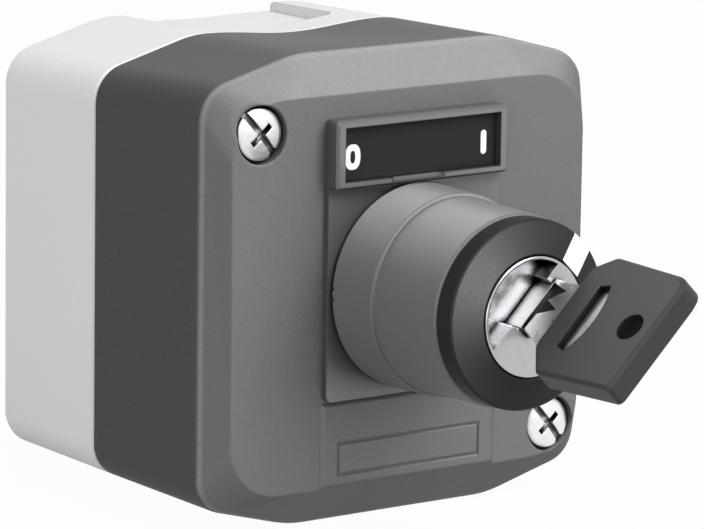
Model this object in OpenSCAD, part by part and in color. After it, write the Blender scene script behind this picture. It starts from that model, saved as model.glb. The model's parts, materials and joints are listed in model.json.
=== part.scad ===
// Key-operated selector switch in a moulded wall box, all lengths in millimetres.
// Origin at the centre of the wall face, X to the right, Z up, the front faces -Y.
// Every piece is drawn with X right, Y up and its depth from the wall along Z, and placed() stands it up.
// The switch is shown at its "on" position with the key in; the "off" position is a quarter turn back.

/* [Box] */
// Width of the box at the joint of base and cover
box_w = 68; // [66:0.5:74]
// Height over the crests at the joint
box_h = 65.8; // [65:0.2:72]
// Depth from the wall to the flat front
box_d = 53; // [52:0.5:58]
// Depth of the base
base_d = 24; // [22:0.5:27]
// Narrowing of the cover's width towards its front bevel
front_narrows = 1.3; // [0.6:0.1:2]
// Growth of the cover's height towards its front bevel
front_grows = 1.2; // [0:0.1:2]
// Narrowing of the base's width towards the wall
back_narrows = 0.8; // [0:0.1:2]
// Loss of height of the base towards the wall
back_shrinks = 1; // [0:0.1:2]
// Side wall thickness
wall = 2.4; // [2.2:0.1:2.8]
// Thickness of the base's floor
floor_t = 2.5; // [2:0.1:3]
// Thickness of the cover's front
front_wall = 3; // [2.6:0.1:3.6]
// Radius of the box's long corners
corner_r = 5.5; // [4:0.1:6]
// Distance of a crest from the middle
crest_x = 17.5; // [15:0.5:18.5]
// Radius of a crest
crest_r = 18; // [6:0.5:20]
// Slope of the shoulders beside the crests
shoulder_angle = 15; // [10:1:18]
// Depth of the hollow between the crests at the wall
hollow_back = 1.45; // [1:0.05:2]
// Depth of the hollow between the crests at the joint
hollow_joint = 0.95; // [0.5:0.05:1.4]
// Open line between base and cover
joint_gap = 0.15; // [0.1:0.05:0.3]

/* [Front face] */
// Depth of the bevel around the front
bevel_d = 3.9; // [3:0.1:4.5]
// Width of that bevel at the sides, seen from the front
bevel_side = 2.65; // [2.2:0.05:3.2]
// Width of that bevel at the crests, seen from the front
bevel_top = 5.6; // [5:0.1:6.4]
// Corner radius of the flat front
flat_r = 8.5; // [5:0.1:9.5]
// Height of the raised panel below the legend plate
panel_rise = 0.45; // [0.3:0.05:0.6]
// Width of the line around the blank name field
field_line = 0.35; // [0.3:0.05:0.5]
// Length of the blank name field
field_w = 25; // [20:0.5:26]
// Height of the blank name field
field_h = 4.8; // [4:0.1:6]

/* [Fixings] */
// Distance of a cover screw from the near side of the flat front
screw_side = 4.9; // [4.7:0.1:5.3]
// Distance of a cover screw from the upper or lower edge of the flat front
screw_end = 4.6; // [4.4:0.1:4.9]
// Head diameter of the cover screws
screw_head_d = 7.6; // [7:0.1:7.8]
// Shank diameter of the cover screws
screw_d = 3.9; // [3.5:0.1:4.2]
// Height of the screw heads
screw_head_h = 2; // [1.6:0.1:2.2]
// Thickness of the seals under the screw heads
screw_seal_t = 0.7; // [0.5:0.1:1]
// Distance of the screw tips from the wall
screw_tip = 9; // [8:0.5:12]
// Distance of a wall fixing from the near side of the box
fix_side = 7; // [6.8:0.1:7.5]
// Distance of a wall fixing from the height of the crests
fix_end = 13.9; // [13:0.1:16]
// Diameter of the wall fixing holes
fix_hole_d = 4.3; // [4:0.1:5]
// Diameter of the cable knock-outs
knockout_d = 20.4; // [16:0.1:20.5]
// Width of the flat lands over the knock-outs
land_w = 27; // [25:0.5:29]
// Length of the flat lands, from the wall
land_l = 17; // [15:0.5:18]

/* [Legend] */
// Width of the legend plate
holder_w = 30; // [29:0.1:31]
// Height of the legend plate
holder_h = 40; // [39:0.1:41]
// Distance of the plate's top edge over the head's axis
holder_top = 24.6; // [24:0.1:25.2]
// Thickness of the legend plate
holder_t = 0.9; // [0.7:0.1:1.2]
// Height of the legend frame at the top of the plate
frame_h = 9.7; // [9.4:0.1:10]
// Rise of the legend frame over the plate
frame_rise = 1.9; // [1.5:0.1:2.4]
// Width of the legend strip
label_w = 27; // [26:0.1:28]
// Height of the legend strip
label_h = 7.5; // [7:0.1:7.8]
// Thickness of the legend strip
label_t = 0.6; // [0.4:0.1:0.8]
// Width of the bevel in the frame's lower rim for lifting the strip
lift_w = 8.6; // [7:0.2:9.4]

/* [Head] */
// Diameter of the head at its foot
head_d = 29.2; // [29:0.1:29.6]
// Height of the head over its seal
head_h = 22.2; // [21:0.1:24]
// Height of the head's lower stage
stage_h = 8.9; // [7:0.1:11]
// Width of the step between the stages
stage_step = 0.33; // [0.2:0.01:0.5]
// Draft of each stage on the radius
head_draft = 0.35; // [0.2:0.01:0.5]
// Thickness of the head seal
head_seal_t = 0.4; // [0.3:0.05:0.6]
// Diameter of the panel hole for the head
panel_hole_d = 22.3; // [22.2:0.1:22.5]
// Diameter of the turning rotor
rotor_d = 26.7; // [26:0.1:26.9]
// Height of the rotor's cylindrical side
rotor_side = 2.95; // [2.5:0.05:3.5]
// Rise of the rotor's conical face
cone_rise = 1.5; // [1.2:0.1:1.8]
// Width of the white index mark
mark_w = 3.7; // [3:0.1:4.2]

/* [Lock and key] */
// Diameter of the lock's face
lock_d = 16.9; // [16.4:0.1:17.1]
// Diameter of the lock's barrel
barrel_d = 14.6; // [14.4:0.1:14.8]
// Width of the key blade
blade_w = 8.6; // [8:0.1:8.8]
// Thickness of the key blade
blade_t = 2.2; // [2:0.1:2.4]
// Distance of the blade's middle from the lock's axis
blade_shift = 1.6; // [1.3:0.1:1.6]
// Length of the blade in front of the lock
blade_out = 6.1; // [5:0.1:8]
// Length of the blade inside the lock
blade_in = 26.4; // [25:0.1:27]
// Width of the bow
bow_w = 20.2; // [18:0.1:22]
// Height of the bow, from its inner edge to its outer edge
bow_h = 19; // [18:0.1:21]
// Thickness of the bow
bow_t = 4; // [3.8:0.1:4.6]
// Diameter of the key-ring hole
ring_hole_d = 4.2; // [3.8:0.1:4.4]
// Angle of the key from upright, to the right, with the switch on
key_angle = 45; // [40:1:50]

/* [Mechanism] */
// Turn between off and on
turn = 90; // [80:1:90]
// Travel of the contact over that turn
travel = 2.6; // [2:0.1:2.8]
// Distance of the pushers from the axis
pusher_x = 7.7; // [7.5:0.1:7.8]
// Width of the contact block
block_w = 10; // [9.6:0.1:10.4]
// Length of the contact block
block_l = 39; // [37:0.5:40]
// Clearance between pieces that move past each other
running = 0.3; // [0.2:0.05:0.35]
// Clearance of the turning fits, on the radius
turning = 0.05; // [0.03:0.01:0.08]

/* [Hidden] */
$fn = 64;
// Overlap of a cut past a face
cut = 1;

// Widths and heights of the box, and places of its fixings
front_w = box_w - front_narrows;
front_h = box_h + front_grows;
back_w = box_w - back_narrows;
back_h = box_h - back_shrinks;
flat_w = front_w - 2 * bevel_side;
flat_h = front_h - 2 * bevel_top;
screw_x = flat_w / 2 - screw_side;
screw_y = flat_h / 2 - screw_end;
fix_x = box_w / 2 - fix_side;
fix_y = box_h / 2 - fix_end;

// Depths from the wall
bevel_start = box_d - bevel_d;
panel_in = box_d - front_wall;
plate_top = box_d + holder_t;
frame_top = plate_top + frame_rise;
bezel_foot = plate_top + head_seal_t;
bezel_rim = bezel_foot + head_h;
rotor_foot = bezel_rim + running;
rotor_edge = rotor_foot + rotor_side;
lock_face = rotor_edge + cone_rise;
key_tip = lock_face - blade_in;
bow_foot = lock_face + blade_out;
bow_top = bow_foot + bow_h;
screw_seat = panel_in + 0.2;

// Depths and radii of the mechanism, counted back from the head
skirt_d = 3.6;
skirt_foot = rotor_foot - skirt_d;
sleeve_top = skirt_foot - running;
tip_room = 3.65;
sleeve_foot = key_tip - tip_room;
ledge_t = 1.4;
ledge_foot = sleeve_foot - ledge_t;
clip_t = 0.8;
clip_top = ledge_foot - 0.2;
barrel_foot = clip_top - clip_t - 0.3;
neck_r = panel_hole_d / 2 - 0.2;
sleeve_r = neck_r - 1.5;
cam_r = sleeve_r - running;
cam_top = barrel_foot - 0.1;
cam_plate_t = 1.6;
cam_low = cam_top - cam_plate_t - 0.6 - travel - 1.3;
tail_w = 5;
tail_l = 4.6;
barrel_r = barrel_d / 2;
pusher_top = cam_low - running;
neck_foot = pusher_top - 1.5;
guide_top = neck_foot - 0.05;
guide_t = 1.7;
block_top = guide_top - guide_t - 0.7;
block_foot = 14;
plunger_top = block_top - travel + 0.2;
block_x = -pusher_x;
wafer_t = 1;
wafer_pitch = 2.5;
wafer_count = 6;

function reversed_tail(list) = [for (i = [len(list) - 2:-1:0]) list[i]];
function unit(v) = v / norm(v);

// Points of a round of radius r at corner b between a and c
function corner_arc(a, b, c, r, steps) =
    let (u = unit(a - b), v = unit(c - b), half = acos(u * v) / 2,
        centre = b + unit(u + v) * r / sin(half),
        first = b + u * r / tan(half) - centre,
        last = b + v * r / tan(half) - centre,
        from = atan2(first[1], first[0]),
        span = (atan2(last[1], last[0]) - from + 540) % 360 - 180)
    [for (i = [0:steps]) centre + r * [cos(from + span * i / steps), sin(from + span * i / steps)]];

// Closed outline through points with a radius at each
function rounded(points, radii, steps) =
    let (n = len(points))
    [for (i = [0:n - 1])
        each corner_arc(points[(i + n - 1) % n], points[i], points[(i + 1) % n], radii[i], steps)];

// Whole outline from its upper right quarter
function four_quarters(q) = concat(
    q,
    [for (p = reversed_tail(q)) [-p[0], p[1]]],
    [for (i = [1:len(q) - 1]) [-q[i][0], -q[i][1]]],
    [for (p = reversed_tail(q)) [p[0], -p[1]]]);

corner_steps = 8;
shoulder_steps = 4;
crest_steps = 6;
hollow_steps = 8;
crest_half = crest_r * tan(shoulder_angle / 2);
crest_end = crest_x - crest_half;

// Points between a and b that cut the way into n parts
function between(a, b, n) = [for (i = [1:n - 1]) a + (b - a) * i / n];

// Outline of the box: upright sides, sloping shoulders, a crest each side of a shallow hollow
function box_outline(half_w, half_h, hollow, inset) =
    let (w = half_w - inset, h = half_h - inset,
        side = h - (w - crest_x) * tan(shoulder_angle),
        corner = corner_arc([w, 0], [w, side], [crest_x, h], max(corner_r - inset, 1), corner_steps),
        crest = corner_arc([w, side], [crest_x, h], [0, h], crest_r, crest_steps))
    four_quarters(concat(
        corner,
        between(corner[corner_steps], crest[0], shoulder_steps),
        crest,
        [for (i = [1:hollow_steps])
            let (x = crest_end * (1 - i / hollow_steps))
            [x, h - hollow * (1 + cos(180 * x / crest_end)) / 2]]));

// Rounded rectangle with as many points as box_outline()
function flat_outline(half_w, half_h, r) =
    four_quarters(concat(
        corner_arc([half_w, 0], [half_w, half_h], [0, half_h], r, corner_steps),
        between([half_w - r, half_h], [crest_x + crest_half, half_h], shoulder_steps),
        [for (i = [0:crest_steps]) [crest_x + crest_half * (1 - 2 * i / crest_steps), half_h]],
        [for (i = [1:hollow_steps]) [crest_end * (1 - i / hollow_steps), half_h]]));

function half_w_at(z) = lookup(z, [[0, back_w / 2], [base_d, box_w / 2], [bevel_start, front_w / 2]]);
function half_h_at(z) = lookup(z, [[0, back_h / 2], [base_d, box_h / 2], [bevel_start, front_h / 2]]);
function hollow_at(z) = lookup(z, [[0, hollow_back], [base_d, hollow_joint], [bevel_start, 0]]);
function section(z, inset) = [z, box_outline(half_w_at(z), half_h_at(z), hollow_at(z), inset)];

// Outline at the joint, the same at every depth, for the seal and what holds it
function joint_section(z, inset) = [z, box_outline(box_w / 2, box_h / 2, hollow_joint, inset)];

// Solid through outlines that have the same number of points
module loft(sections) {
    n = len(sections[0][1]);
    last = len(sections) - 1;
    points = [for (s = sections) each [for (p = s[1]) [p[0], p[1], s[0]]]];
    sides = [for (k = [0:last - 1], i = [0:n - 1])
        let (a = k * n + i, b = k * n + (i + 1) % n)
        each [[a, a + n, b + n], [a, b + n, b]]];
    foot = [for (i = [0:n - 1]) i];
    top = [for (i = [n - 1:-1:0]) last * n + i];
    polyhedron(points, concat([foot], sides, [top]));
}

module placed() {
    rotate([90, 0, 0]) children();
}

// The key's own frame: Y along the blade's width, towards the index mark
module key_frame() {
    rotate([0, 0, -key_angle]) children();
}

module tube(r_out, r_in, z0, z1) {
    translate([0, 0, z0]) difference() {
        cylinder(r = r_out, h = z1 - z0);
        translate([0, 0, -cut]) cylinder(r = r_in, h = z1 - z0 + 2 * cut);
    }
}

module block(x0, x1, y0, y1, z0, z1) {
    translate([x0, y0, z0]) cube([x1 - x0, y1 - y0, z1 - z0]);
}

// Plate in the X-Y plane with rounded corners
module round_plate(w, h, r, z0, z1) {
    translate([0, 0, z0]) linear_extrude(z1 - z0)
        polygon(rounded([[-w / 2, -h / 2], [w / 2, -h / 2], [w / 2, h / 2], [-w / 2, h / 2]], [r, r, r, r], 5));
}

// Both cover screws, upper left and lower right
module at_screws() {
    for (s = [-1, 1]) translate([s * screw_x, -s * screw_y, 0]) children();
}

// Both wall fixings, on the other diagonal
module at_fixings() {
    for (s = [-1, 1]) translate([s * fix_x, s * fix_y, 0]) children();
}

// The hole for the head, with its notch against turning
hole_notch_w = 3.2;
hole_notch_r = 12.9;
module head_hole(z0, z1) {
    translate([0, 0, z0]) cylinder(d = panel_hole_d, h = z1 - z0);
    block(-hole_notch_w / 2, hole_notch_w / 2, 0, hole_notch_r, z0, z1);
}

// Enclosure

edge_chamfer = 0.3;
groove_inset = 0.8;
groove_w = 0.8;
groove_d = 1.6;
pillar_r = 4;
boss_r = 5.3;
land_r = 3;
land_floor = back_h / 2 - hollow_back;
knockout_web = 0.8;
knockout_groove = 0.9;
knockout_z = 12.8;
fix_boss_r = 4;
fix_boss_h = 1.5;

// Flat land for a cable entry in the upper side
module land_cut() {
    inner = land_w / 2 - land_r;
    translate([0, land_floor, 0]) rotate([-90, 0, 0]) linear_extrude(4) {
        translate([-land_w / 2, -land_l + land_r]) square([land_w, land_l]);
        translate([-inner, -land_l]) square([2 * inner, land_l]);
        for (s = [-1, 1]) translate([s * inner, -land_l + land_r]) circle(land_r);
    }
}

// Groove inside the upper wall that leaves a thin web around the knock-out
module knockout_cut() {
    translate([0, land_floor - knockout_web - 3, knockout_z]) rotate([-90, 0, 0]) difference() {
        cylinder(d = knockout_d, h = 3);
        translate([0, 0, -cut]) cylinder(d = knockout_d - 2 * knockout_groove, h = 3 + 2 * cut);
    }
}

module base() color("#c9cac8") placed() difference() {
    union() {
        difference() {
            loft([[0, box_outline(back_w / 2, back_h / 2, hollow_back, 0.7)],
                section(0.25, 0.25), section(0.8, 0), section(base_d - joint_gap - edge_chamfer, 0),
                section(base_d - joint_gap, edge_chamfer)]);
            loft([section(floor_t, wall + 0.6), section(floor_t + 0.6, wall), section(base_d + cut, wall)]);
        }
        at_screws() cylinder(r = pillar_r, h = base_d - joint_gap);
        for (s = [-1, 1]) {
            x0 = s > 0 ? screw_x : -half_w_at(floor_t) + wall / 2;
            block(x0, x0 + half_w_at(floor_t) - wall / 2 - screw_x, s > 0 ? -screw_y - 1 : screw_y - 1,
                s > 0 ? -screw_y + 1 : screw_y + 1, floor_t, base_d - joint_gap - 2);
        }
        at_fixings() cylinder(r = fix_boss_r, h = floor_t + fix_boss_h);
    }
    difference() {
        loft([joint_section(base_d - joint_gap - groove_d, groove_inset),
            joint_section(base_d + cut, groove_inset)]);
        loft([joint_section(base_d - joint_gap - groove_d - cut, groove_inset + groove_w),
            joint_section(base_d + 2 * cut, groove_inset + groove_w)]);
    }
    for (side = [0, 1]) mirror([0, side, 0]) {
        land_cut();
        knockout_cut();
    }
    at_fixings() translate([0, 0, -cut]) cylinder(d = fix_hole_d, h = floor_t + fix_boss_h + 2 * cut);
    at_screws() translate([0, 0, screw_tip - 1]) cylinder(d = screw_d + 0.1, h = base_d);
}

panel_w = holder_w + 0.6;
panel_top = holder_top - holder_h - 0.25;
panel_foot = -flat_h / 2 + 0.15;
field_top = panel_foot + 6.4;
recess_clear = 0.35;

// Raised panel below the legend plate, with a shallow line around a blank field
module name_panel() {
    mid = (panel_top + panel_foot) / 2;
    h = panel_top - panel_foot;
    difference() {
        hull() {
            translate([0, mid, box_d - 0.5]) linear_extrude(0.5 + panel_rise * 0.3)
                square([panel_w, h], center = true);
            translate([0, mid, box_d + panel_rise * 0.3]) linear_extrude(panel_rise * 0.7)
                square([panel_w - 2 * panel_rise, h - 2 * panel_rise], center = true);
        }
        translate([0, field_top - field_h / 2, box_d + panel_rise - 0.2]) difference() {
            linear_extrude(cut) square([field_w, field_h], center = true);
            linear_extrude(cut) square([field_w - 2 * field_line, field_h - 2 * field_line], center = true);
        }
    }
}

// Recess for a cover screw's head
module screw_recess() {
    translate([0, 0, screw_seat]) cylinder(r = screw_head_d / 2 + recess_clear, h = front_wall + cut);
    translate([0, 0, base_d - cut]) cylinder(d = screw_d + 0.5, h = box_d - base_d);
}

tongue_w = groove_w - 0.1;
tongue_inset = groove_inset + 0.05;
tongue_d = 0.8;

module cover() color("#4a4b4d") placed() difference() {
    union() {
        difference() {
            loft([section(base_d, edge_chamfer), section(base_d + edge_chamfer, 0), section(bevel_start - 1, 0),
                section(bevel_start - 0.3, 0.12),
                [bevel_start + 0.2, box_outline(front_w / 2, front_h / 2, 0, 0.36)],
                [box_d, flat_outline(flat_w / 2, flat_h / 2, flat_r)]]);
            loft([section(base_d - cut, wall), section(bevel_start - 3, wall),
                [panel_in, flat_outline(flat_w / 2 - 0.6, flat_h / 2 - 0.6, flat_r - 1)]]);
        }
        intersection() {
            at_screws() translate([0, 0, base_d]) cylinder(r = boss_r, h = panel_in - base_d + 0.5);
            loft([section(base_d, 1), section(panel_in + 1, 1)]);
        }
        name_panel();
        difference() {
            loft([joint_section(base_d - joint_gap - tongue_d, tongue_inset),
                joint_section(base_d + 0.5, tongue_inset)]);
            loft([joint_section(base_d - joint_gap - tongue_d - cut, tongue_inset + tongue_w),
                joint_section(base_d + cut, tongue_inset + tongue_w)]);
        }
    }
    at_screws() screw_recess();
    head_hole(panel_in - cut, box_d + cut);
}

module joint_gasket() color("#1c1c1c") placed() difference() {
    z0 = base_d - joint_gap - groove_d;
    z1 = base_d - joint_gap - tongue_d;
    loft([joint_section(z0, tongue_inset), joint_section(z1, tongue_inset)]);
    loft([joint_section(z0 - cut, tongue_inset + tongue_w), joint_section(z1 + cut, tongue_inset + tongue_w)]);
}

slot_w = 1;
slot_d = 1.1;
slot_angle = -50;
slot_end_r = 0.9;
cross_w = 0.9;
cross_l = 4;
dome_rise = 0.45;

// Pan head with a slot across it, a short cross bar and a wider mouth at the slot's lower end
module screw_head() {
    r = screw_head_d / 2;
    edge = screw_head_h - dome_rise - 0.3;
    difference() {
        rotate_extrude() polygon(concat(
            [[0, 0], [r - 0.3, 0], [r, 0.3], [r, edge]],
            [for (i = [1:5]) [r * cos(18 * i), edge + (dome_rise + 0.3) * sin(18 * i)]]));
        rotate([0, 0, slot_angle]) translate([0, 0, screw_head_h - slot_d]) {
            translate([-r - cut, -slot_w / 2, 0]) cube([2 * r + 2 * cut, slot_w, 3]);
            translate([-cross_w / 2, -cross_l / 2, -0.3]) cube([cross_w, cross_l, 3]);
            translate([r, 0, -0.3]) cylinder(r = slot_end_r, h = 3);
        }
    }
}

module cover_screws() color("#d5d6d8") placed() at_screws() {
    translate([0, 0, screw_seat + screw_seal_t]) screw_head();
    translate([0, 0, screw_tip + 1.2]) cylinder(d = screw_d, h = screw_seat + screw_seal_t - screw_tip - 1.1);
    translate([0, 0, screw_tip]) cylinder(d1 = screw_d - 1.6, d2 = screw_d, h = 1.2);
}

module screw_seals() color("#1c1c1c") placed() at_screws()
    tube(screw_head_d / 2 - 0.2, screw_d / 2 + 0.05, screw_seat, screw_seat + screw_seal_t);

// Legend plate and strip

holder_mid = holder_top - holder_h / 2;
frame_mid = holder_top - frame_h / 2;
strip_floor = plate_top + 0.2;

lift_left = -4.95;
lift_depth = 0.55;

// Bevel along the frame's lower rim, run out to the right, with a slit at its left end
module lift_cut() {
    foot = frame_mid - frame_h / 2;
    hull() for (end = [[0, lift_depth, 0.45], [lift_w - 0.9, lift_depth, 0.45], [lift_w, 0, 0]])
        translate([lift_left + end[0], foot, frame_top - end[1]]) rotate([0, 90, 0]) linear_extrude(0.01)
            polygon([[-cut, 0.4], [0, 0.4], [end[2], 1.6], [-cut, 1.6]]);
    block(lift_left - 0.5, lift_left + 0.1, foot + 0.4, foot + 1.6, frame_top - 1.2, frame_top + cut);
}

module legend_plate() color("#5f6061") placed() difference() {
    union() {
        translate([0, holder_mid, box_d]) linear_extrude(holder_t)
            polygon(rounded([[-holder_w / 2, -holder_h / 2], [holder_w / 2, -holder_h / 2],
                [holder_w / 2, holder_h / 2], [-holder_w / 2, holder_h / 2]], [1, 1, 0.6, 0.6], 4));
        translate([0, frame_mid, 0]) {
            round_plate(holder_w, frame_h, 0.6, box_d, frame_top - 0.35);
            hull() {
                round_plate(holder_w, frame_h, 0.6, frame_top - 0.4, frame_top - 0.35);
                round_plate(holder_w - 0.7, frame_h - 0.7, 0.5, frame_top - 0.1, frame_top);
            }
        }
    }
    translate([0, frame_mid, strip_floor]) linear_extrude(frame_rise + cut)
        square([label_w + 0.2, label_h + 0.2], center = true);
    lift_cut();
    head_hole(box_d - cut, plate_top + cut);
}

module legend_strip() color("#232323") placed()
    translate([0, frame_mid, strip_floor]) round_plate(label_w, label_h, 0.3, 0, label_t);

// Head

head_r = head_d / 2;
seal_r = head_r - 0.45;
step_z = bezel_foot + stage_h;
upper_r = head_r - head_draft - stage_step;
rim_r = upper_r - head_draft;
skirt_r = rim_r - 2.25;
rib_w = hole_notch_w - 0.4;
rib_r = hole_notch_r - 0.3;
lug_angle = 18;
lug_play = 2;
foot_notch_r = 0.4;

module head_seal() color("#141414") placed() difference() {
    tube(seal_r, panel_hole_d / 2, plate_top, bezel_foot);
    head_hole(plate_top - cut, bezel_foot + cut);
}

// Sector of a ring between two angles
module ring_sector(r_in, r_out, from, span, z0, z1) {
    rotate([0, 0, from]) translate([0, 0, z0]) rotate_extrude(angle = span)
        translate([r_in, 0]) square([r_out - r_in, z1 - z0]);
}

module head_bezel() color("#5a5b5d") placed() difference() {
    union() {
        rotate_extrude($fn = 128) polygon([
            [neck_r, neck_foot], [neck_r, bezel_foot], [head_r - 0.25, bezel_foot], [head_r, bezel_foot + 0.25],
            [head_r - head_draft + 0.15, step_z - 0.15], [head_r - head_draft, step_z],
            [upper_r + 0.02, step_z + 0.02], [rim_r + 0.03, bezel_rim - 0.3], [rim_r - 0.25, bezel_rim],
            [skirt_r + running, bezel_rim], [skirt_r + running, sleeve_top], [sleeve_r, sleeve_top],
            [sleeve_r, sleeve_foot], [barrel_r + 1, sleeve_foot], [barrel_r + 1, ledge_foot],
            [sleeve_r, ledge_foot], [sleeve_r, neck_foot]]);
        block(-rib_w / 2, rib_w / 2, neck_r - 0.3, rib_r, panel_in - 3, bezel_foot + 0.2);
        ring_sector(skirt_r - 1.6, skirt_r + running + 0.2, 270 - lug_angle / 2, lug_angle, sleeve_top - 0.2,
            sleeve_top + skirt_d - 0.3);
    }
    for (s = [-1, 1]) rotate([0, 0, 180 + 3 * s])
        translate([head_r, 0, bezel_foot - cut]) cylinder(r = foot_notch_r, h = cut + 0.6);
}

sleeve_bore = barrel_r + turning;
wafer_play = 5.3;

module lock_sleeve() color("#9a9b9d") placed() difference() {
    tube(sleeve_r - 0.02, sleeve_bore, sleeve_foot + 0.02, sleeve_top - 0.02);
    key_frame() for (s = [-1, 1])
        translate([-wafer_play / 2, s > 0 ? barrel_r - 1 : -sleeve_r + 0.7, key_tip + 1.5])
            cube([wafer_play, sleeve_r - barrel_r + 0.3, wafer_count * wafer_pitch + 1]);
}

flange_z = rotor_foot + 0.7;
flange_r = lock_d / 2;
rotor_r = rotor_d / 2;

// The rotor's cap, before the index mark is let in
module rotor_cap() {
    rotate_extrude($fn = 128) polygon([
        [barrel_r + 0.02, rotor_foot], [rotor_r, rotor_foot], [rotor_r, rotor_edge - 0.3],
        [rotor_r - 0.28, rotor_edge], [flange_r + 0.3, lock_face - 0.15], [flange_r + 0.12, lock_face - 0.3],
        [flange_r + 0.02, flange_z], [barrel_r + 0.02, flange_z]]);
}

// Space of the index mark, from the lock's ring out past the rotor's edge
module mark_space() {
    key_frame() translate([-mark_w / 2, flange_r + 0.2, rotor_edge - 0.7])
        cube([mark_w, rotor_r, cone_rise + 2]);
}

// The stop skirt is open where the bezel's lug runs
skirt_open = turn + lug_angle + 2 * lug_play;
skirt_from = 270 + lug_angle / 2 + lug_play;
skirt_wall = 1.5;

module rotor() color("#1b1b1c") placed() difference() {
    union() {
        rotor_cap();
        ring_sector(skirt_r - skirt_wall, skirt_r, skirt_from, 360 - skirt_open, skirt_foot, rotor_foot + 0.2);
    }
    mark_space();
}

module index_mark() color("#f0f0ee") placed() intersection() {
    rotor_cap();
    mark_space();
}

// Lock

blade_low = blade_shift - blade_w / 2;
blade_high = blade_shift + blade_w / 2;
key_play = 0.12;
ring_w = 0.45;
sunk_side = 2.2;
sunk_low = 0.6;
sunk_high = 0.9;
sunk_d = 3.3;
wafer_r = barrel_r - 0.3;
wafer_w = 5;
wafer_slot = wafer_t + 0.1;
wafer_z = key_tip + 2;

module at_wafers() {
    for (i = [0:wafer_count - 1]) translate([0, 0, wafer_z + i * wafer_pitch]) children();
}

// Sunken part of the lock's face: a segment beside the keyway, open to the blade's side
module face_pocket() {
    intersection() {
        translate([0, 0, lock_face - sunk_d]) cylinder(r = flange_r - ring_w, h = sunk_d + cut);
        block(-lock_d, -sunk_side, -lock_d, lock_d, lock_face - sunk_d - cut, lock_face + 2 * cut);
    }
    block(-sunk_side - 0.1, -blade_t / 2, blade_low - sunk_low, blade_high - sunk_high, lock_face - sunk_d,
        lock_face + cut);
}

module lock_barrel() color("#c9cacc") placed() difference() {
    union() {
        rotate_extrude($fn = 128) polygon([
            [0, barrel_foot], [barrel_r - 0.3, barrel_foot], [barrel_r, barrel_foot + 0.3],
            [barrel_r, flange_z], [flange_r, flange_z], [flange_r, lock_face - 0.25],
            [flange_r - 0.08, lock_face - 0.08], [flange_r - 0.25, lock_face], [0, lock_face]]);
        block(-tail_w / 2, tail_w / 2, -tail_w / 2, tail_w / 2, barrel_foot - tail_l, barrel_foot + 0.5);
    }
    key_frame() {
        block(-blade_t / 2 - key_play, blade_t / 2 + key_play, blade_low - key_play, blade_high + key_play,
            key_tip - 0.3, lock_face + cut);
        face_pocket();
        at_wafers() block(-wafer_w / 2 - 0.05, wafer_w / 2 + 0.05, -barrel_r - cut, barrel_r + cut, 0,
            wafer_slot);
    }
    tube(barrel_r + cut, barrel_r - 0.8, clip_top - clip_t - 0.05, clip_top + 0.05);
}

module wafers() color("#c8a24a") placed() key_frame() at_wafers() difference() {
    translate([0, 0, 0.05]) intersection() {
        cylinder(r = wafer_r, h = wafer_t);
        block(-wafer_w / 2, wafer_w / 2, -wafer_r, wafer_r, -cut, wafer_t + cut);
    }
    block(-blade_t / 2 - key_play, blade_t / 2 + key_play, blade_low - key_play, blade_high + key_play,
        -cut, wafer_t + cut);
}

// Open retaining clip in the groove at the barrel's foot
clip_gap = 60;
module barrel_clip() color("#8f9092") placed()
    ring_sector(barrel_r - 0.78, cam_r - 0.2, 270 + clip_gap / 2, 360 - clip_gap, clip_top - clip_t, clip_top);

// Drive cam with two helical ramps

hub_r = 4.9;
ramp_r_in = 6.1;
ramp_r_out = cam_r - 0.1;
ramp_steps = 20;
ramp_lead = 14;
ramp_top = cam_top - cam_plate_t + 0.2;

// Depth of the ramp's face at an angle past the pusher
function ramp_z(a) = cam_low + travel * min(max(a, 0), turn) / turn;

// One ramp: its face falls back from the pusher as the cam turns to off
module ramp() {
    span = turn + 2 * ramp_lead;
    angles = [for (i = [0:ramp_steps]) -ramp_lead + span * i / ramp_steps];
    points = [for (a = angles) let (c = cos(a), s = sin(a), z = ramp_z(a)) each [
        [ramp_r_in * c, -ramp_r_in * s, z], [ramp_r_out * c, -ramp_r_out * s, z],
        [ramp_r_out * c, -ramp_r_out * s, ramp_top], [ramp_r_in * c, -ramp_r_in * s, ramp_top]]];
    sides = [for (k = [0:ramp_steps - 1], i = [0:3])
        let (a = 4 * k + i, b = 4 * k + (i + 1) % 4)
        each [[a, a + 4, b + 4], [a, b + 4, b]]];
    last = 4 * ramp_steps;
    polyhedron(points, concat([[0, 1, 2, 3]], sides, [[last + 3, last + 2, last + 1, last]]));
}

module drive_cam() color("#e4e2da") placed() difference() {
    union() {
        translate([0, 0, cam_top - cam_plate_t]) cylinder(r = cam_r, h = cam_plate_t);
        translate([0, 0, cam_low]) cylinder(r = hub_r, h = cam_top - cam_low - 0.5);
        for (a = [0, 180]) rotate([0, 0, a]) ramp();
    }
    block(-tail_w / 2 - 0.05, tail_w / 2 + 0.05, -tail_w / 2 - 0.05, tail_w / 2 + 0.05, cam_top - tail_l - 0.1,
        cam_top + cut);
}

// Rear of the head

pusher_w = 2.4;
pusher_h = 3;
pusher_play = 0.2;
guide_rim = 1.2;

module at_pushers() {
    for (s = [-1, 1]) translate([s * pusher_x, 0, 0]) children();
}

module guide_plate() color("#3a3b3c") placed() difference() {
    union() {
        translate([0, 0, guide_top - guide_t]) cylinder(r = neck_r - 0.1, h = guide_t);
        tube(sleeve_r - 0.05, sleeve_r - guide_rim, guide_top - 0.1, guide_top + 0.9);
    }
    at_pushers() block(-pusher_w / 2 - pusher_play, pusher_w / 2 + pusher_play, -pusher_h / 2 - pusher_play,
        pusher_h / 2 + pusher_play, guide_top - guide_t - cut, guide_top + 2);
    translate([0, 0, guide_top - guide_t - cut]) cylinder(r = 2.2, h = guide_t + 2 * cut);
}

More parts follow.
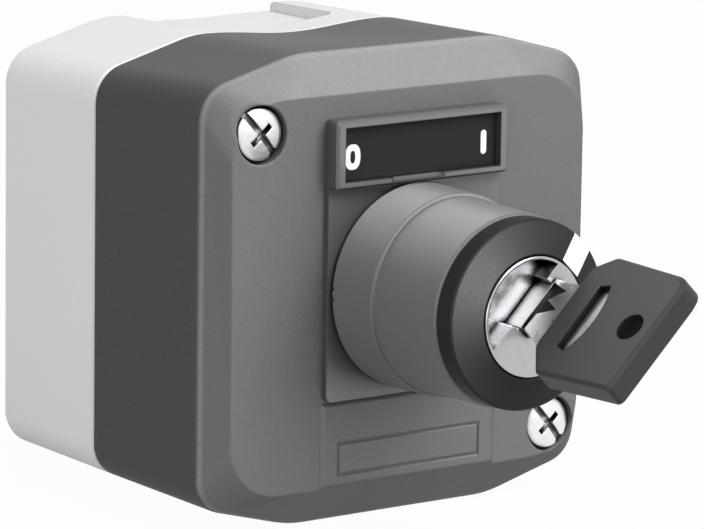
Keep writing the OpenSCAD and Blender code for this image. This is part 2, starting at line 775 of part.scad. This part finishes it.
collar_w = 29;
collar_h = 40;
collar_top = panel_in - 0.3;
collar_foot = guide_top + 0.4;
collar_screw_x = 11.2;
collar_screw_y = 15.5;
collar_screw_d = 3;
collar_head_r = 2.8;
hook_w = 6;
hook_t = 1.3;
hook_lip = 0.9;
hook_z = 2.6;
hook_h = 1.8;

module at_collar_screws() {
    for (s = [-1, 1]) translate([s * collar_screw_x, s * collar_screw_y, 0]) children();
}

module fixing_collar() color("#8b8d90") placed() difference() {
    round_plate(collar_w, collar_h, 2.5, collar_foot, collar_top);
    head_hole(collar_foot - cut, collar_top + cut);
    at_collar_screws() {
        translate([0, 0, collar_foot - cut]) cylinder(d = collar_screw_d + 0.1, h = 20);
        translate([0, 0, collar_foot - cut]) cylinder(r = collar_head_r + 0.15, h = cut + 1.9);
    }
    for (s = [-1, 1]) {
        block(-s * collar_screw_x - 2.6, -s * collar_screw_x + 2.6, s * collar_screw_y - 3.4,
            s * collar_screw_y + 2.6, collar_foot - cut, collar_top - 1.6);
        block(block_x - hook_w / 2 - 0.2, block_x + hook_w / 2 + 0.2,
            s > 0 ? collar_h / 2 - hook_lip - 0.1 : -collar_h,
            s > 0 ? collar_h : -collar_h / 2 + hook_lip + 0.1,
            collar_foot + hook_z - 0.2, collar_foot + hook_z + hook_h + 0.2);
    }
}

module collar_screws() color("#bfc0c2") placed() at_collar_screws() difference() {
    union() {
        translate([0, 0, collar_foot]) cylinder(r = collar_head_r, h = 1.8);
        translate([0, 0, collar_foot + 1]) cylinder(d = collar_screw_d, h = panel_in - collar_foot - 1);
    }
    block(-collar_head_r - cut, collar_head_r + cut, -0.4, 0.4, collar_foot - cut, collar_foot + 0.9);
}

// Contact block, on the left pusher

block_wall = 1.2;
chamber_l = 21;
chamber_foot = block_foot + 2;
chamber_top = block_top - 1.6;
stem_w = 3.4;
stem_l = 4.4;
stem_play = 0.25;
yoke_w = 6.4;
yoke_h = 4.6;
terminal_y = 14.6;
well_r = 3.3;
bridge_t = 0.8;
bridge_w = 4;
bridge_l = 15;
bridge_foot = chamber_foot + 7;
rivet_y = 5.8;
rivet_r = 1.5;
rivet_h = 0.6;
contact_gap = 0.1;
strip_t = 0.8;
strip_w = 4.4;
strip_in = 4.4;
strip_out = 17;
strip_top = bridge_foot - 2 * rivet_h - contact_gap;
terminal_r = 1.4;

module in_block() {
    translate([block_x, 0, 0]) children();
}

module block_housing() color("#35373a") placed() difference() {
    in_block() {
        block(-block_w / 2, block_w / 2, -block_l / 2, block_l / 2, block_foot, block_top);
        for (s = [-1, 1]) {
            y = s > 0 ? collar_h / 2 + 0.15 : -collar_h / 2 - 0.15 - hook_t;
            lip = s > 0 ? collar_h / 2 - hook_lip : -collar_h / 2 - 0.15 - hook_t;
            block(-hook_w / 2, hook_w / 2, y, y + hook_t, block_top - 4, collar_foot + hook_z + hook_h);
            block(-hook_w / 2, hook_w / 2, lip, lip + hook_t + hook_lip + 0.15, collar_foot + hook_z,
                collar_foot + hook_z + hook_h);
            block(-hook_w / 2, hook_w / 2, s > 0 ? block_l / 2 - 1 : y, s > 0 ? y + hook_t : -block_l / 2 + 1,
                block_top - 4, block_top - 1.5);
        }
    }
    in_block() {
        block(-block_w / 2 + block_wall, block_w / 2 - block_wall, -chamber_l / 2, chamber_l / 2, chamber_foot,
            chamber_top);
        block(-stem_w / 2 - stem_play, stem_w / 2 + stem_play, -stem_l / 2 - stem_play, stem_l / 2 + stem_play,
            chamber_top - cut, block_top + cut);
        for (s = [-1, 1]) {
            translate([0, s * terminal_y, block_foot - cut])
                cylinder(r = well_r, h = strip_top - block_foot + cut);
            translate([0, s * terminal_y, strip_top - cut]) cylinder(r = terminal_r + 0.2, h = 8);
            block(-strip_w / 2 - 0.1, strip_w / 2 + 0.1, s > 0 ? strip_in : -strip_out - 0.1,
                s > 0 ? strip_out + 0.1 : -strip_in, strip_top - strip_t, strip_top);
            block(-2.6, 2.6, s > 0 ? terminal_y : -block_l, s > 0 ? block_l : -terminal_y,
                strip_top - strip_t - 3.2, strip_top - strip_t);
        }
    }
}

module fixed_contacts() color("#c77b4c") placed() in_block() for (s = [-1, 1]) difference() {
    union() {
        block(-strip_w / 2, strip_w / 2, s > 0 ? strip_in : -strip_out, s > 0 ? strip_out : -strip_in,
            strip_top - strip_t, strip_top);
        translate([0, s * rivet_y, strip_top - 0.1]) cylinder(r = rivet_r, h = rivet_h + 0.1);
    }
    translate([0, s * terminal_y, strip_top - strip_t - cut])
        cylinder(r = terminal_r + 0.05, h = strip_t + 2 * cut);
}

washer_t = 1;
washer_w = 4.8;
washer_h = 4;
terminal_head_r = 2.6;
terminal_head_h = 1.9;
terminal_l = 8;
washer_foot = strip_top - strip_t - washer_t;

// Both terminals, above and below the chamber
module at_terminals() {
    in_block() for (s = [-1, 1]) translate([0, s * terminal_y, washer_foot]) children();
}

module clamp_washers() color("#b9babc") placed() at_terminals() difference() {
    translate([-washer_w / 2, -washer_h / 2, 0]) cube([washer_w, washer_h, washer_t]);
    translate([0, 0, -cut]) cylinder(r = terminal_r + 0.05, h = washer_t + 2 * cut);
}

module terminal_screws() color("#cfd0d2") placed() at_terminals() difference() {
    union() {
        translate([0, 0, -terminal_head_h]) cylinder(r = terminal_head_r, h = terminal_head_h);
        translate([0, 0, -0.2]) cylinder(r = terminal_r, h = terminal_l);
    }
    translate([0, 0, -terminal_head_h]) for (a = [0, 90]) rotate([0, 0, a])
        cube([1.4 * terminal_head_r, 0.3 * terminal_head_r, terminal_head_h], center = true);
}

module pushers() color("#d9d6cc") placed() at_pushers() {
    foot = plunger_top;
    block(-pusher_w / 2, pusher_w / 2, -pusher_h / 2, pusher_h / 2, foot, pusher_top - 0.9);
    translate([0, 0, pusher_top - 0.9]) rotate([90, 0, 90]) linear_extrude(pusher_w, center = true)
        polygon([[-pusher_h / 2, 0], [pusher_h / 2, 0], [0.5, 0.9], [-0.5, 0.9]]);
}

// Yoke's bar under the bridge
yoke_bar = 2.2;
plunger_foot = bridge_foot - yoke_bar;
window_play = 0.15;

// Stem with a wider yoke that carries the contact bridge
module block_plunger() color("#f1efe8") placed() in_block() difference() {
    union() {
        block(-stem_w / 2, stem_w / 2, -stem_l / 2, stem_l / 2, plunger_foot, plunger_top);
        block(-yoke_w / 2, yoke_w / 2, -stem_l / 2, stem_l / 2, plunger_foot, plunger_foot + yoke_h);
    }
    block(-bridge_w / 2 - window_play, bridge_w / 2 + window_play, -stem_l, stem_l, bridge_foot,
        bridge_foot + bridge_t + window_play);
}

// Bridge with a contact rivet near each end
module contact_bridge() color("#c77b4c") placed() in_block() {
    block(-bridge_w / 2, bridge_w / 2, -bridge_l / 2, bridge_l / 2, bridge_foot, bridge_foot + bridge_t);
    for (s = [-1, 1]) translate([0, s * rivet_y, bridge_foot - rivet_h])
        cylinder(r = rivet_r, h = rivet_h + 0.1);
}

spring_r = 1.5;
spring_wire = 0.4;
spring_turns = 5;
wire_sides = 6;
turn_steps = 14;

// Helical spring between two depths, as one swept wire
module helix(z0, z1) {
    count = spring_turns * turn_steps;
    points = [for (k = [0:count], j = [0:wire_sides - 1])
        let (a = 360 * k / turn_steps, b = 360 * j / wire_sides, r = spring_r + spring_wire / 2 * cos(b))
        [r * cos(a), r * sin(a), z0 + (z1 - z0) * k / count + spring_wire / 2 * sin(b)]];
    sides = [for (k = [0:count - 1], j = [0:wire_sides - 1])
        let (a = k * wire_sides + j, b = k * wire_sides + (j + 1) % wire_sides)
        each [[a, b, b + wire_sides], [a, b + wire_sides, a + wire_sides]]];
    foot = [for (j = [wire_sides - 1:-1:0]) j];
    last = [for (j = [0:wire_sides - 1]) count * wire_sides + j];
    polyhedron(points, concat([foot], sides, [last]));
}

module return_spring() color("#b4b5b7") placed() in_block()
    helix(chamber_foot + spring_wire / 2, plunger_foot - spring_wire / 2);

// Key

shank_w = 13;
shank_mid = blade_shift - 0.4;
groove_v = 0.55;
mill_t = 0.6;
bow_mid = 1.1;
bow_edge = 0.45;
ring_hole_z = bow_top - 4.25;
ring_hole_y = bow_mid + 0.2;
shank_foot = bow_foot + 1.2;
shank_top = ring_hole_z - ring_hole_d / 2 - 1;
window_l = 11.4;
window_w = 3.3;
window_side = 1.8;
window_taper = 0.5;
window_mid = bow_mid - 0.2;
window_z = bow_foot + 4.25;
bit_depth = 1.1;

// Blade and shank as one stamped piece
module key_outline() {
    difference() {
        union() {
            polygon([[blade_low, key_tip + 2.2], [blade_shift + 0.4, key_tip], [blade_shift + 1.6, key_tip],
                [blade_high, key_tip + 2.2], [blade_high, bow_foot + 2], [blade_low - 2.2, bow_foot + 2],
                [blade_low - 2.2, bow_foot], [blade_low - 1.1, bow_foot - 2.45],
                [blade_low, bow_foot - blade_out + 1.05]]);
            translate([shank_mid - shank_w / 2, shank_foot]) square([shank_w, shank_top - shank_foot]);
        }
        for (i = [0:wafer_count - 1]) translate([blade_low, wafer_z + 0.6 + i * wafer_pitch])
            polygon([[-cut, -1.1], [0, -1.1], [bit_depth * (0.35 + 0.3 * (i % 3)), -0.3],
                [bit_depth * (0.35 + 0.3 * (i % 3)), 0.3], [0, 1.1], [-cut, 1.1]]);
    }
}

// Upright sheet in the key's plane, t thick
module key_sheet(t) {
    rotate([90, 0, 90]) translate([0, 0, -t / 2]) linear_extrude(t) children();
}

// Milled pocket in front of the lock's face, with two pointed run-outs
module milled_pocket() {
    rotate([90, 0, 90]) translate([blade_shift, lock_face, -blade_t / 2 - cut]) linear_extrude(cut + mill_t)
        polygon([[-blade_w, 0.25], [3.7, 0.25], [3.7, 0.5], [2.9, 3.75], [0.9, 1.45], [-0.2, 4.3],
            [-1.6, 1.3], [-blade_w / 2, 1.05], [-blade_w, 1.05]]);
}

module key_blade() color("#c6c7c9") placed() key_frame() difference() {
    key_sheet(blade_t) key_outline();
    for (y = [blade_shift - 1.9, blade_shift + 1.7])
        translate([blade_t / 2, y, key_tip - cut]) rotate([0, 0, 45]) translate([-groove_v, -groove_v, 0])
            cube([2 * groove_v, 2 * groove_v, blade_in + blade_out + cut - 0.8]);
    milled_pocket();
}

function bow_outline(inset) =
    let (low = bow_mid - bow_w / 2 + inset, high = bow_mid + bow_w / 2 - inset,
        foot = bow_foot + inset, top = bow_top - inset)
    rounded([[low + 4, foot], [high - 2.4, foot], [high, foot + 3.2], [high - 0.5, top], [low + 0.5, top - 0.3],
        [low, foot + 3.6]], [0.8, 1, 1.6, 2.2, 0.7, 1.2], 4);

// Window with one straight side and one bulging side, which shows the shank
module window_outline() {
    half = window_l / 2;
    bulge = window_w - window_side;
    r = (half * half + bulge * bulge) / (2 * bulge);
    translate([window_mid, window_z]) intersection() {
        translate([0, window_w - r]) circle(r, $fn = 160);
        polygon([[-half + window_taper, 0], [half - window_taper, 0], [half, window_side], [half, window_w],
            [-half, window_w], [-half, window_side]]);
    }
}

module key_bow() color("#2e2f31") placed() key_frame() difference() {
    hull() {
        key_sheet(bow_t - 2 * bow_edge) polygon(bow_outline(0));
        key_sheet(bow_t) polygon(bow_outline(bow_edge));
    }
    key_sheet(blade_t) key_outline();
    key_sheet(bow_t + cut) window_outline();
    translate([0, ring_hole_y, ring_hole_z]) rotate([0, 90, 0])
        translate([0, 0, -bow_t]) cylinder(d = ring_hole_d, h = 2 * bow_t);
}

base();
cover();
joint_gasket();
cover_screws();
screw_seals();
legend_plate();
legend_strip();
head_seal();
head_bezel();
lock_sleeve();
rotor();
index_mark();
lock_barrel();
wafers();
barrel_clip();
drive_cam();
guide_plate();
fixing_collar();
collar_screws();
block_housing();
fixed_contacts();
clamp_washers();
terminal_screws();
pushers();
block_plunger();
contact_bridge();
return_spring();
key_blade();
key_bow();
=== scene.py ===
"""Looks of a key-operated switch in a moulded wall box, around its CAD frame."""
import json
import math

import bpy
from mathutils import Matrix, Vector


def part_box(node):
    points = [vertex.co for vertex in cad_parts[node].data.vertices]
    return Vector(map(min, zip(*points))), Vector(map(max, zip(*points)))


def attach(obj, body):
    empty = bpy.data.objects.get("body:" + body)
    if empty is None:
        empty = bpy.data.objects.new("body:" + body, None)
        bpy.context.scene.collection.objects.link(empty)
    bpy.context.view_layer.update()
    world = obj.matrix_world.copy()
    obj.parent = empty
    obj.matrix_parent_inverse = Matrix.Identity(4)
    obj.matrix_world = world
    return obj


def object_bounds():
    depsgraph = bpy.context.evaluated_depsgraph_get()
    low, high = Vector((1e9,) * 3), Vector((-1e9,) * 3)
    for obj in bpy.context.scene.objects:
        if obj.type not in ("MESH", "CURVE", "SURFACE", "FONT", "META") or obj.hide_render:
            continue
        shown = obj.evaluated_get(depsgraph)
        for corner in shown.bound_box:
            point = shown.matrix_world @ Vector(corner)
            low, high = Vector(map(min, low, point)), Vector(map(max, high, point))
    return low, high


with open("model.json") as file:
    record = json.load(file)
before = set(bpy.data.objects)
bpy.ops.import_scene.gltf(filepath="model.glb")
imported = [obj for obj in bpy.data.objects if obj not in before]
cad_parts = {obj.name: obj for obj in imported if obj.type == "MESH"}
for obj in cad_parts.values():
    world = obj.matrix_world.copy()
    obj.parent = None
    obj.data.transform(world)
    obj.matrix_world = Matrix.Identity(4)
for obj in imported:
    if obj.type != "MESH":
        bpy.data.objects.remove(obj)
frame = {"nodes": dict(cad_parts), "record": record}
cad_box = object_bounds()
nodes = frame["nodes"]
MM = 0.001
MICRON = 0.000001


# Shader building blocks

def add(tree, kind, **settings):
    """New node whose inputs and properties are set by name."""
    node = tree.nodes.new(kind)
    for key, value in settings.items():
        if key in node.inputs:
            node.inputs[key].default_value = value
        else:
            setattr(node, key, value)
    return node


def noise(tree, scale, detail, rough):
    """Noise in the object's own coordinates, scale in features per metre."""
    where = add(tree, "ShaderNodeTexCoord")
    tex = add(tree, "ShaderNodeTexNoise", Scale=scale, Detail=detail, Roughness=rough)
    tree.links.new(where.outputs["Object"], tex.inputs["Vector"])
    return tex.outputs["Fac"]


# Noise seldom leaves this range
NOISE_LOW = 0.3
NOISE_HIGH = 0.7


def mapped(tree, value, start, end, low, high, **settings):
    """Number that runs from low to high as the value runs from start to end."""
    node = add(tree, "ShaderNodeMapRange", **settings)
    for name, number in zip(("From Min", "From Max", "To Min", "To Max"), (start, end, low, high)):
        node.inputs[name].default_value = number
    tree.links.new(value, node.inputs["Value"])
    return node.outputs["Result"]


def two_tones(tree, fac, colour, amount):
    """Colour that wanders by a share to each side."""
    ramp = add(tree, "ShaderNodeValToRGB")
    dark, light = ramp.color_ramp.elements
    dark.position = NOISE_LOW
    light.position = NOISE_HIGH
    dark.color = [c * (1 - amount) for c in colour] + [1]
    light.color = [min(c * (1 + amount), 1) for c in colour] + [1]
    tree.links.new(fac, ramp.inputs["Fac"])
    return ramp.outputs["Color"]


def scaled(tree, colour, factor):
    """Colour times a number."""
    node = add(tree, "ShaderNodeVectorMath", operation="SCALE")
    tree.links.new(colour, node.inputs[0])
    tree.links.new(factor, node.inputs["Scale"])
    return node.outputs["Vector"]


# Share of open sky at which the painted shade in a hollow is darkest, and at which none is painted
HOLLOW_SKY = 0.45
OPEN_SKY = 0.9


def painted_hollow_shade(tree, colour, reach, dark):
    """Paints shade into the colour: darkens it where other surfaces stand within reach, as in recesses, slots
    and beside taller parts.
    """
    near = add(tree, "ShaderNodeAmbientOcclusion", samples=8, Distance=reach)
    return scaled(tree, colour, mapped(tree, near.outputs["AO"], HOLLOW_SKY, OPEN_SKY, dark, 1.0))


def depth_band(tree, start, end, low, high):
    """Number that runs from low to high between two depths in front of the wall."""
    where = add(tree, "ShaderNodeTexCoord")
    parts = add(tree, "ShaderNodeSeparateXYZ")
    tree.links.new(where.outputs["Object"], parts.inputs["Vector"])
    return mapped(tree, parts.outputs["Y"], -start, -end, low, high, interpolation_type="SMOOTHSTEP")


def relief(tree, bsdf, height, depth, edge):
    """Fine relief on the surface, with edges rounded by the given radius."""
    bump = add(tree, "ShaderNodeBump", Strength=1.0, Distance=depth)
    tree.links.new(height, bump.inputs["Height"])
    if edge:
        soft = add(tree, "ShaderNodeBevel", samples=6, Radius=edge)
        tree.links.new(soft.outputs["Normal"], bump.inputs["Normal"])
    tree.links.new(bump.outputs["Normal"], bsdf.inputs["Normal"])


# Materials

def surface(name, colour, fac_settings, rough_range, depth, mottle, edge, shade_reach, dark):
    """Material whose colour, roughness and relief follow one fine noise, with shade painted into the colour's
    hollows where a reach is given.
    """
    mat = bpy.data.materials.new(name)
    mat.use_nodes = True
    tree = mat.node_tree
    bsdf = tree.nodes["Principled BSDF"]
    fac = noise(tree, *fac_settings)
    tone = two_tones(tree, fac, colour, mottle)
    if shade_reach:
        tone = painted_hollow_shade(tree, tone, shade_reach, dark)
    tree.links.new(tone, bsdf.inputs["Base Color"])
    tree.links.new(mapped(tree, fac, NOISE_LOW, NOISE_HIGH, *rough_range), bsdf.inputs["Roughness"])
    relief(tree, bsdf, fac, depth, edge)
    return mat, bsdf


def plastic(name, colour, rough=0.5, grain=2400, depth=3 * MICRON, mottle=0.05, edge=0.3 * MM, gloss=0.5,
            shade_reach=0.0, dark=0.3):
    """Moulded plastic or rubber with a fine grain."""
    mat, bsdf = surface(name, colour, (grain, 4.0, 0.6), (rough - 0.03, rough + 0.03), depth, mottle, edge,
                        shade_reach, dark)
    bsdf.inputs["Specular IOR Level"].default_value = gloss
    return mat


def metal(name, colour, rough=0.3, grain=900, edge=0.2 * MM, shade_reach=0.0, dark=0.1):
    """Plated or turned metal."""
    mat, bsdf = surface(name, colour, (grain, 3.0, 0.5), (rough - 0.03, rough + 0.04), MICRON, 0.04, edge,
                        shade_reach, dark)
    bsdf.inputs["Metallic"].default_value = 1.0
    return mat


# Where a shade reach is given, shade is painted into the colour in recesses, slots and beside taller parts,
# such as on the legend plate beside the head.
LOOKS = {
    "base_plastic": plastic("base_plastic", (0.66, 0.67, 0.655), rough=0.55, depth=4 * MICRON, mottle=0.02,
                            gloss=0.3),
    "cover_plastic": plastic("cover_plastic", (0.031, 0.032, 0.034), rough=0.68, grain=2200,
                             depth=30 * MICRON, mottle=0.15, edge=0.4 * MM, gloss=0.12),
    "black_rubber": plastic("black_rubber", (0.012, 0.012, 0.012), rough=0.7, grain=1200, depth=10 * MICRON,
                            mottle=0.1, edge=0),
    "plated_steel": metal("plated_steel", (0.85, 0.855, 0.865), rough=0.35, shade_reach=1.2 * MM, dark=0.05),
    "legend_grey": plastic("legend_grey", (0.1, 0.101, 0.104), grain=2600, edge=0.2 * MM, gloss=0.25,
                           shade_reach=12 * MM),
    "strip_black": plastic("strip_black", (0.014, 0.014, 0.015), grain=2600, depth=2 * MICRON, edge=0,
                           gloss=0.15),
    "bezel_plastic": plastic("bezel_plastic", (0.115, 0.117, 0.121), grain=2600, depth=4 * MICRON,
                             mottle=0.06, gloss=0.2),
    "zinc": metal("zinc", (0.5, 0.51, 0.52), rough=0.5, grain=1500),
    "black_plastic": plastic("black_plastic", (0.014, 0.014, 0.015), mottle=0.08, gloss=0.1),
    "mark_white": plastic("mark_white", (0.82, 0.82, 0.81), rough=0.4, grain=1800, mottle=0.02, edge=0),
    "lock_chrome": metal("lock_chrome", (0.5, 0.505, 0.515), rough=0.25, shade_reach=1.5 * MM, dark=0.02),
    "brass": metal("brass", (0.58, 0.42, 0.16), rough=0.35),
    "natural_plastic": plastic("natural_plastic", (0.75, 0.73, 0.67), grain=1500, depth=6 * MICRON,
                               mottle=0.03),
    "dark_plastic": plastic("dark_plastic", (0.035, 0.036, 0.04), grain=1500, depth=10 * MICRON, mottle=0.1),
    "copper_alloy": metal("copper_alloy", (0.62, 0.31, 0.14), rough=0.35),
    "spring_steel": metal("spring_steel", (0.5, 0.51, 0.52), edge=0),
    "key_nickel": metal("key_nickel", (0.66, 0.665, 0.675), shade_reach=1.5 * MM),
    "bow_plastic": plastic("bow_plastic", (0.036, 0.038, 0.041), depth=6 * MICRON, mottle=0.1, gloss=0.15,
                           shade_reach=5 * MM, dark=0.03),
}

# Depths in front of the wall: the outer edge of the cover's slopes, and the front panel
EDGE_DEPTH = 49 * MM
FRONT_DEPTH = 53 * MM


def paint_edge_highlight(mat, half_width, lift):
    """Paints a highlight into the colour: lightens a thin band along the outer edge of the cover's slopes,
    where that rounded edge catches the light.
    """
    tree = mat.node_tree
    bsdf = tree.nodes["Principled BSDF"]
    tone = bsdf.inputs["Base Color"].links[0].from_socket
    rise = depth_band(tree, EDGE_DEPTH - half_width, EDGE_DEPTH, 1.0, lift)
    fall = depth_band(tree, EDGE_DEPTH, EDGE_DEPTH + half_width, lift, 1.0)
    both = add(tree, "ShaderNodeMath", operation="MINIMUM")
    tree.links.new(rise, both.inputs[0])
    tree.links.new(fall, both.inputs[1])
    tree.links.new(scaled(tree, tone, both.outputs["Value"]), bsdf.inputs["Base Color"])


def soften_slopes(mat, wide, narrow):
    """Blends the sloping faces by the wide radius and the front's edges by the narrow one."""
    tree = mat.node_tree
    soft = next(node for node in tree.nodes if node.bl_idname == "ShaderNodeBevel")
    radius = depth_band(tree, FRONT_DEPTH - 1.5 * MM, FRONT_DEPTH - 0.2 * MM, wide, narrow)
    tree.links.new(radius, soft.inputs["Radius"])


# Painted highlight along the cover's outer edge
paint_edge_highlight(LOOKS["cover_plastic"], 0.7 * MM, 4.0)
soften_slopes(LOOKS["cover_plastic"], 1.5 * MM, 0.4 * MM)

for part in frame["record"]["subparts"]:
    obj = nodes[part["node"]]
    obj.data.materials.clear()
    obj.data.materials.append(LOOKS[part["material_slot"]])


def mesh_object(name, points, faces, mat):
    mesh = bpy.data.meshes.new(name)
    mesh.from_pydata(points, [], faces)
    obj = bpy.data.objects.new(name, mesh)
    bpy.context.scene.collection.objects.link(obj)
    obj.data.materials.append(mat)
    return obj


# Generic position marks on the legend strip

PRINT_GAP = 0.03 * MM


def printed(name, rings):
    """Flat print just in front of the strip: one outline, or two with the print between them."""
    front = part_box("legend_strip")[0][1] - PRINT_GAP
    points = [(x * MM, front, z * MM) for ring in rings for x, z in ring]
    n = len(rings[0])
    if len(rings) == 1:
        faces = [tuple(range(n))]
    else:
        faces = [(i, (i + 1) % n, n + (i + 1) % n, n + i) for i in range(n)]
    obj = mesh_object(name, points, faces, LOOKS["mark_white"])
    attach(obj, "housing")


def power(value, exponent):
    """Power that keeps the value's sign."""
    return math.copysign(abs(value) ** exponent, value)


def oval(x, z, half_w, half_h, steps=48):
    """Oval ring in millimetres, fuller than an ellipse."""
    turns = [math.tau * i / steps for i in range(steps)]
    return [(x + half_w * power(math.cos(a), 0.8), z + half_h * power(math.sin(a), 0.85)) for a in turns]


def bar(x, z, half_w, half_h, steps=40):
    """Upright bar in millimetres, with round ends."""
    turns = [math.tau * (i + 0.5) / steps for i in range(steps)]
    return [(x + half_w * math.cos(a),
             z + math.copysign(half_h - half_w, math.sin(a)) + half_w * math.sin(a)) for a in turns]


OFF_X, OFF_Z = -11.62, 19.27
ON_X, ON_Z = 11.3, 19.37
printed("mark_off", [oval(OFF_X, OFF_Z, 1.33, 1.8), oval(OFF_X, OFF_Z, 0.42, 0.88)])
printed("mark_on", [bar(ON_X, ON_Z, 0.5, 1.72)])


# Black sheet of painted shade on the floor of the key's milled pocket: across the blade and out from the
# lock's face, in millimetres

POCKET = [(-2.68, 0.27), (5.28, 0.27), (5.28, 0.5), (4.47, 3.65), (2.5, 1.55), (1.4, 4.2), (0.05, 1.3),
          (-2.68, 1.03)]
POCKET_SIDE = -0.53
LOCK_FACE = 81.25


def key_point(side, width, depth):
    """Point in the key's own frame, which stands at 45 degrees, brought to the part's frame."""
    return ((side + width) * math.sqrt(0.5) * MM, -depth * MM, (width - side) * math.sqrt(0.5) * MM)


# A black sheet stands in for the shade deep in the pocket.
def pocket_shade_sheet():
    points = [key_point(POCKET_SIDE, width, LOCK_FACE + out) for width, out in POCKET]
    obj = mesh_object("pocket_shade_sheet", points, [tuple(range(len(POCKET)))], LOOKS["black_plastic"])
    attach(obj, "key")


pocket_shade_sheet()


# Floor, light and camera

def seen_directly(tree):
    """One for rays from the camera and for those mirrored or refracted, else zero."""
    path = add(tree, "ShaderNodeLightPath")
    found = path.outputs["Is Camera Ray"]
    for kind in ("Is Glossy Ray", "Is Transmission Ray"):
        either = add(tree, "ShaderNodeMath", operation="MAXIMUM")
        tree.links.new(found, either.inputs[0])
        tree.links.new(path.outputs[kind], either.inputs[1])
        found = either.outputs[0]
    return found


def mixed(tree, fac, first, second):
    """Mix of two shaders by a number or a socket."""
    mix = add(tree, "ShaderNodeMixShader")
    if isinstance(fac, float):
        mix.inputs[0].default_value = fac
    else:
        tree.links.new(fac, mix.inputs[0])
    tree.links.new(first.outputs[0], mix.inputs[1])
    tree.links.new(second.outputs[0], mix.inputs[2])
    return mix


WHITE = (1, 1, 1, 1)
FLOOR_TONE = (0.5, 0.5, 0.5, 1)
FLOOR_GLOW = 0.97
WORLD_LIGHT = 0.45
FLOOR = cad_box[0][2] - 0.5 * MM
FLOOR_HALF = 1.5

# White to the eye with a trace of the shadow, and a plain grey for the light that it sends back
floor_mat = bpy.data.materials.new("floor")
floor_mat.use_nodes = True
floor_tree = floor_mat.node_tree
floor_tree.nodes.clear()
glow = add(floor_tree, "ShaderNodeEmission", Color=WHITE, Strength=1.0)
plain = add(floor_tree, "ShaderNodeBsdfDiffuse", Color=FLOOR_TONE)
floor_shader = mixed(floor_tree, seen_directly(floor_tree), plain, mixed(floor_tree, FLOOR_GLOW, plain, glow))
floor_out = add(floor_tree, "ShaderNodeOutputMaterial")
floor_tree.links.new(floor_shader.outputs[0], floor_out.inputs["Surface"])
corners = [(x * FLOOR_HALF, y * FLOOR_HALF, FLOOR) for x, y in ((-1, -1), (1, -1), (1, 1), (-1, 1))]
mesh_object("floor", corners, [(0, 1, 2, 3)], floor_mat)

world = bpy.data.worlds.new("world")
bpy.context.scene.world = world
world.use_nodes = True
sky = world.node_tree
sky.nodes.clear()
sky_light = add(sky, "ShaderNodeBackground", Color=WHITE, Strength=WORLD_LIGHT)
sky_white = add(sky, "ShaderNodeBackground", Color=WHITE, Strength=1.0)
sky_out = add(sky, "ShaderNodeOutputWorld")
sky.links.new(mixed(sky, seen_directly(sky), sky_light, sky_white).outputs[0], sky_out.inputs["Surface"])

TARGET = Vector((0, -0.04, 0))


def soft_lamp(name, place, size, watts):
    """Soft box that faces the switch."""
    data = bpy.data.lights.new(name, "AREA")
    data.shape = "RECTANGLE"
    data.size, data.size_y = size
    data.energy = watts
    lamp = bpy.data.objects.new(name, data)
    lamp.location = place
    lamp.rotation_mode = "QUATERNION"
    lamp.rotation_quaternion = (TARGET - Vector(place)).to_track_quat("-Z", "Y")
    bpy.context.scene.collection.objects.link(lamp)
    return lamp


def sheen_lamp(name, place, size, watts, lit, shades=tuple(nodes)):
    """Soft box that the nodes in lit mirror and that only the nodes in shades block."""
    lamp = soft_lamp(name, place, size, watts)
    lamp.visible_diffuse = False
    linking = lamp.light_linking
    linking.receiver_collection = bpy.data.collections.new(name + "_lights")
    linking.blocker_collection = bpy.data.collections.new(name + "_shades")
    for node in lit:
        linking.receiver_collection.objects.link(nodes[node])
    for node in shades:
        linking.blocker_collection.objects.link(nodes[node])


soft_lamp("key_light", (0.16, -0.76, 0.72), (0.6, 0.6), 12.0)
soft_lamp("left_light", (-0.97, -0.30, 0.10), (0.5, 0.5), 4.6)
sheen_lamp("sheen_front", (0.66, -2.00, 0.38), (1.4, 1.1), 330.0, ["cover", "head_bezel"])
sheen_lamp("sheen_plate", (1.24, -1.71, -0.22), (0.9, 0.7), 42.0, ["legend_plate"])
sheen_lamp("sheen_table", (0.35, -0.90, -0.85), (1.2, 1.0), 95.0, ["cover"])
sheen_lamp("sheen_bevel", (0.90, -0.80, 1.60), (1.4, 1.4), 720.0, ["cover"])
sheen_lamp("sheen_left", (-1.22, -0.88, -0.07), (0.7, 0.9), 210.0, ["cover"])
sheen_lamp("sheen_head", (0.12, 1.22, 1.06), (1.6, 1.3), 37.0, ["head_bezel"],
           ["head_bezel", "rotor", "key_bow"])
sheen_lamp("sheen_rotor", (0.1, -2.0, 0.30), (1.0, 0.8), 230.0, ["rotor"])
sheen_lamp("sheen_key", (-0.30, 1.25, 0.95), (0.8, 0.8), 12.0, ["key_bow"])

# Camera fitted to the photograph's corners of the box
camera = bpy.data.cameras.new("camera")
camera.lens = 274.42
camera.sensor_width = 36.0
camera.clip_start, camera.clip_end = 0.05, 20
eye = bpy.data.objects.new("camera", camera)
eye_place = Vector((-0.4490895, -0.6408209, 0.1461150))
right = Vector((0.802939, -0.595868, 0.015167))
up = Vector((0.101618, 0.161916, 0.981558))
back = Vector((-0.587335, -0.786590, 0.190560))
eye.matrix_world = Matrix.Translation(eye_place) @ Matrix((right, up, back)).transposed().to_4x4()
bpy.context.scene.collection.objects.link(eye)
bpy.context.scene.camera = eye
bpy.context.scene.view_settings.view_transform = "Standard"
